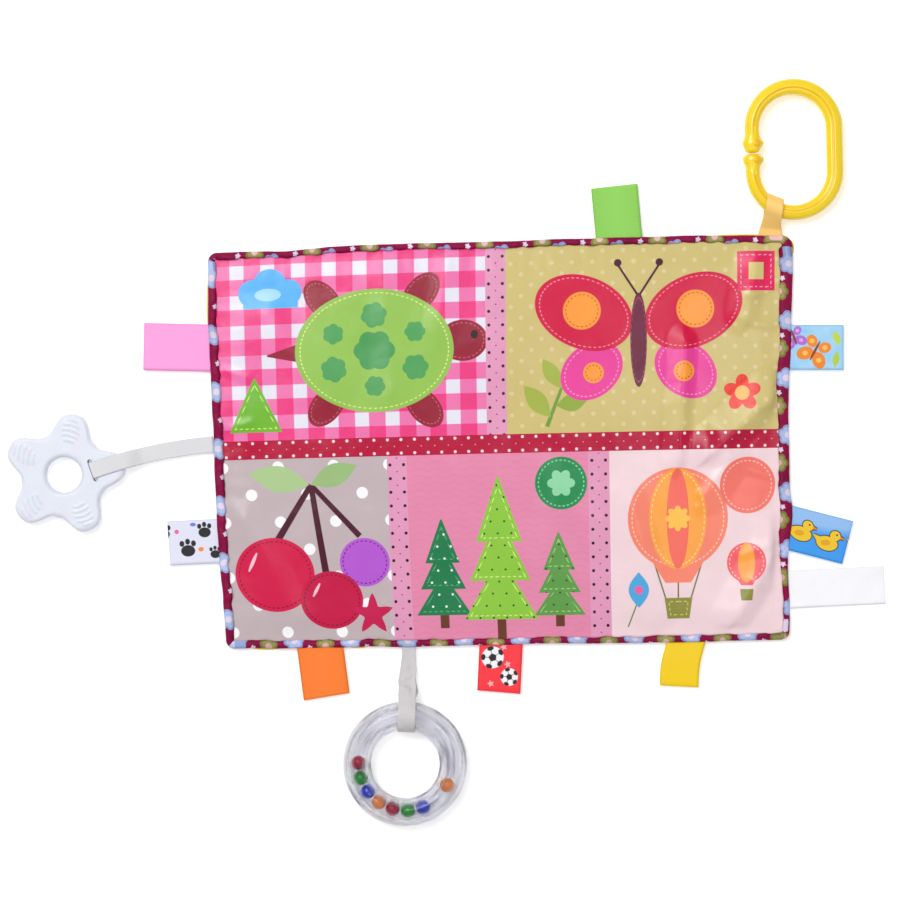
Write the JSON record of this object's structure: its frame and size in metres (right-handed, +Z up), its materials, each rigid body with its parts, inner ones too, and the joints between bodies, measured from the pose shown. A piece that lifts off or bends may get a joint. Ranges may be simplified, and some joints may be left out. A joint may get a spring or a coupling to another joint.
{
  "type": "crinkle comfort blanket",
  "caption": "Flat padded baby blanket with a taped edge, ribbon loops, care label, hanging link, star teether and clear rattle ring on straps.",
  "frame": {"origin": "middle of the blanket's underside, on the surface it lies on", "axes": "+X along the blanket's long side, towards the care label; +Y towards the edge that holds the link; +Z up, off the printed front"},
  "size_m": [0.4725, 0.4011, 0.0182],
  "materials": {
    "front_print": "printed satin polyester, soft sheen",
    "batting": "matt wadding",
    "crinkle_film": "thin rustling film",
    "back_cloth": "plain yellow satin",
    "binding_tape": "printed cotton tape, puckered by its stitching",
    "pink_ribbon": "satin ribbon",
    "white_ribbon": "printed satin ribbon",
    "green_ribbon": "grosgrain ribbon",
    "sky_ribbon": "printed satin ribbon",
    "blue_ribbon": "printed satin ribbon",
    "yellow_ribbon": "satin ribbon",
    "red_ribbon": "printed satin ribbon",
    "orange_ribbon": "grosgrain ribbon",
    "label_tape": "bare white satin tape",
    "gold_ribbon": "satin ribbon",
    "link_plastic": "moulded, glossy",
    "strap_ribbon": "woven white ribbon",
    "clear_plastic": "clear, polished",
    "red_bead": "translucent",
    "green_bead": "translucent",
    "blue_bead": "translucent",
    "orange_bead": "translucent",
    "teether_silicone": "matt white, slightly soft"
  },
  "bodies": {
    "blanket": {"front_panel": "front_print", "batting": "batting", "crinkle_film": "crinkle_film", "back_panel": "back_cloth", "binding": "binding_tape"},
    "pink_loop": {"pink_tag": "pink_ribbon"},
    "white_loop": {"white_print_tag": "white_ribbon"},
    "green_loop": {"green_tag": "green_ribbon"},
    "sky_loop": {"sky_print_tag": "sky_ribbon"},
    "blue_loop": {"blue_print_tag": "blue_ribbon"},
    "yellow_loop": {"yellow_tag": "yellow_ribbon"},
    "red_loop": {"red_print_tag": "red_ribbon"},
    "orange_loop": {"orange_tag": "orange_ribbon"},
    "label": {"care_label": "label_tape"},
    "link_hanger": {"link_loop": "gold_ribbon"},
    "link": {"link_ring": "link_plastic"},
    "rattle_hanger": {"rattle_strap": "strap_ribbon"},
    "rattle": {"ring_front_shell": "clear_plastic", "ring_back_shell": "clear_plastic"},
    "rolling_bead_1": {"bead_1": "red_bead"},
    "rolling_bead_2": {"bead_2": "green_bead"},
    "rolling_bead_3": {"bead_3": "blue_bead"},
    "rolling_bead_4": {"bead_4": "orange_bead"},
    "rolling_bead_5": {"bead_5": "red_bead"},
    "rolling_bead_6": {"bead_6": "green_bead"},
    "rolling_bead_7": {"bead_7": "blue_bead"},
    "rolling_bead_8": {"bead_8": "orange_bead"},
    "teether_hanger": {"teether_strap": "strap_ribbon"},
    "teether": {"star_teether": "teether_silicone"}
  },
  "joints": [
    {"name": "pink_tag_flap", "type": "hinge", "parent": "blanket", "child": "pink_loop", "pos_m": [-0.15944, 0.05178, 0.00225], "axis": [-0.0269, 0.9996, 0], "range_deg": [-85, 85]},
    {"name": "white_tag_flap", "type": "hinge", "parent": "blanket", "child": "white_loop", "pos_m": [-0.15452, -0.05225, 0.00225], "axis": [-0.0674, 0.9977, 0], "range_deg": [-85, 85]},
    {"name": "green_tag_flap", "type": "hinge", "parent": "blanket", "child": "green_loop", "pos_m": [0.0619, 0.11184, 0.00225], "axis": [0.9998, 0.022, 0], "range_deg": [-85, 85]},
    {"name": "sky_tag_flap", "type": "hinge", "parent": "blanket", "child": "sky_loop", "pos_m": [0.15556, 0.05216, 0.00225], "axis": [-0.0074, -1, 0], "range_deg": [-85, 85]},
    {"name": "blue_tag_flap", "type": "hinge", "parent": "blanket", "child": "blue_loop", "pos_m": [0.15484, -0.04532, 0.00225], "axis": [-0.0074, -1, 0], "range_deg": [-85, 85]},
    {"name": "yellow_tag_flap", "type": "hinge", "parent": "blanket", "child": "yellow_loop", "pos_m": [0.09809, -0.10704, 0.00225], "axis": [-0.9998, -0.0209, 0], "range_deg": [-85, 85]},
    {"name": "red_tag_flap", "type": "hinge", "parent": "blanket", "child": "red_loop", "pos_m": [-0.00171, -0.10886, 0.00225], "axis": [-0.9999, -0.0157, 0], "range_deg": [-85, 85]},
    {"name": "orange_tag_flap", "type": "hinge", "parent": "blanket", "child": "orange_loop", "pos_m": [-0.09909, -0.11014, 0.00225], "axis": [-0.9999, -0.0106, 0], "range_deg": [-85, 85]},
    {"name": "label_flap", "type": "hinge", "parent": "blanket", "child": "label", "pos_m": [0.15429, -0.07839, 0.00225], "axis": [-0.0074, -1, 0], "range_deg": [-85, 85]},
    {"name": "link_loop_flap", "type": "hinge", "parent": "blanket", "child": "link_hanger", "pos_m": [0.14335, 0.11318, 0.00225], "axis": [0.9999, 0.0108, 0], "range_deg": [-80, 80]},
    {"name": "link_swing", "type": "hinge", "parent": "link_hanger", "child": "link", "pos_m": [0.1457, 0.12678, 0.0071], "axis": [0.8934, -0.4493, 0], "range_deg": [-70, 70]},
    {"name": "rattle_strap_flap", "type": "hinge", "parent": "blanket", "child": "rattle_hanger", "pos_m": [-0.0513, -0.10957, 0.00225], "axis": [-0.9999, -0.0131, 0], "range_deg": [-85, 85]},
    {"name": "rattle_swing", "type": "hinge", "parent": "rattle_hanger", "child": "rattle", "pos_m": [-0.05241, -0.14576, 0.00925], "axis": [-0.9995, 0.0306, 0], "range_deg": [-90, 90]},
    {"name": "teether_strap_flap", "type": "hinge", "parent": "blanket", "child": "teether_hanger", "pos_m": [-0.15751, -0.00026, 0.00225], "axis": [-0.0472, 0.9989, 0], "range_deg": [-85, 85]},
    {"name": "teether_swing", "type": "hinge", "parent": "teether_hanger", "child": "teether", "pos_m": [-0.20301, -0.00848, 0.00515], "axis": [-0.2671, 0.9637, 0], "range_deg": [-70, 70], "deforming": ["teether_strap"]},
    {"name": "bead_1_roll", "type": "hinge", "parent": "rattle", "child": "rolling_bead_1", "pos_m": [-0.0532, -0.17159, 0.00925], "axis": [0, 0, 1], "range_deg": [-186, 0]},
    {"name": "bead_2_roll", "type": "hinge", "parent": "rattle", "child": "rolling_bead_2", "pos_m": [-0.0532, -0.17159, 0.00925], "axis": [0, 0, 1], "range_deg": [-159.6, 0]},
    {"name": "bead_3_roll", "type": "hinge", "parent": "rattle", "child": "rolling_bead_3", "pos_m": [-0.0532, -0.17159, 0.00925], "axis": [0, 0, 1], "range_deg": [-133, 0]},
    {"name": "bead_4_roll", "type": "hinge", "parent": "rattle", "child": "rolling_bead_4", "pos_m": [-0.0532, -0.17159, 0.00925], "axis": [0, 0, 1], "range_deg": [-106.5, 0]},
    {"name": "bead_5_roll", "type": "hinge", "parent": "rattle", "child": "rolling_bead_5", "pos_m": [-0.0532, -0.17159, 0.00925], "axis": [0, 0, 1], "range_deg": [-80, 0]},
    {"name": "bead_6_roll", "type": "hinge", "parent": "rattle", "child": "rolling_bead_6", "pos_m": [-0.0532, -0.17159, 0.00925], "axis": [0, 0, 1], "range_deg": [-53.4, 0]},
    {"name": "bead_7_roll", "type": "hinge", "parent": "rattle", "child": "rolling_bead_7", "pos_m": [-0.0532, -0.17159, 0.00925], "axis": [0, 0, 1], "range_deg": [-26.8, 0]},
    {"name": "bead_8_roll", "type": "hinge", "parent": "rattle", "child": "rolling_bead_8", "pos_m": [-0.0532, -0.17159, 0.00925], "axis": [0, 0, 1], "range_deg": [-21, 186]}
  ],
  "couplings": [
    {"joint": "bead_2_roll", "follows": "bead_1_roll", "ratio": 0.857},
    {"joint": "bead_3_roll", "follows": "bead_1_roll", "ratio": 0.714},
    {"joint": "bead_4_roll", "follows": "bead_1_roll", "ratio": 0.571},
    {"joint": "bead_5_roll", "follows": "bead_1_roll", "ratio": 0.429},
    {"joint": "bead_6_roll", "follows": "bead_1_roll", "ratio": 0.286},
    {"joint": "bead_7_roll", "follows": "bead_1_roll", "ratio": 0.143}
  ]
}
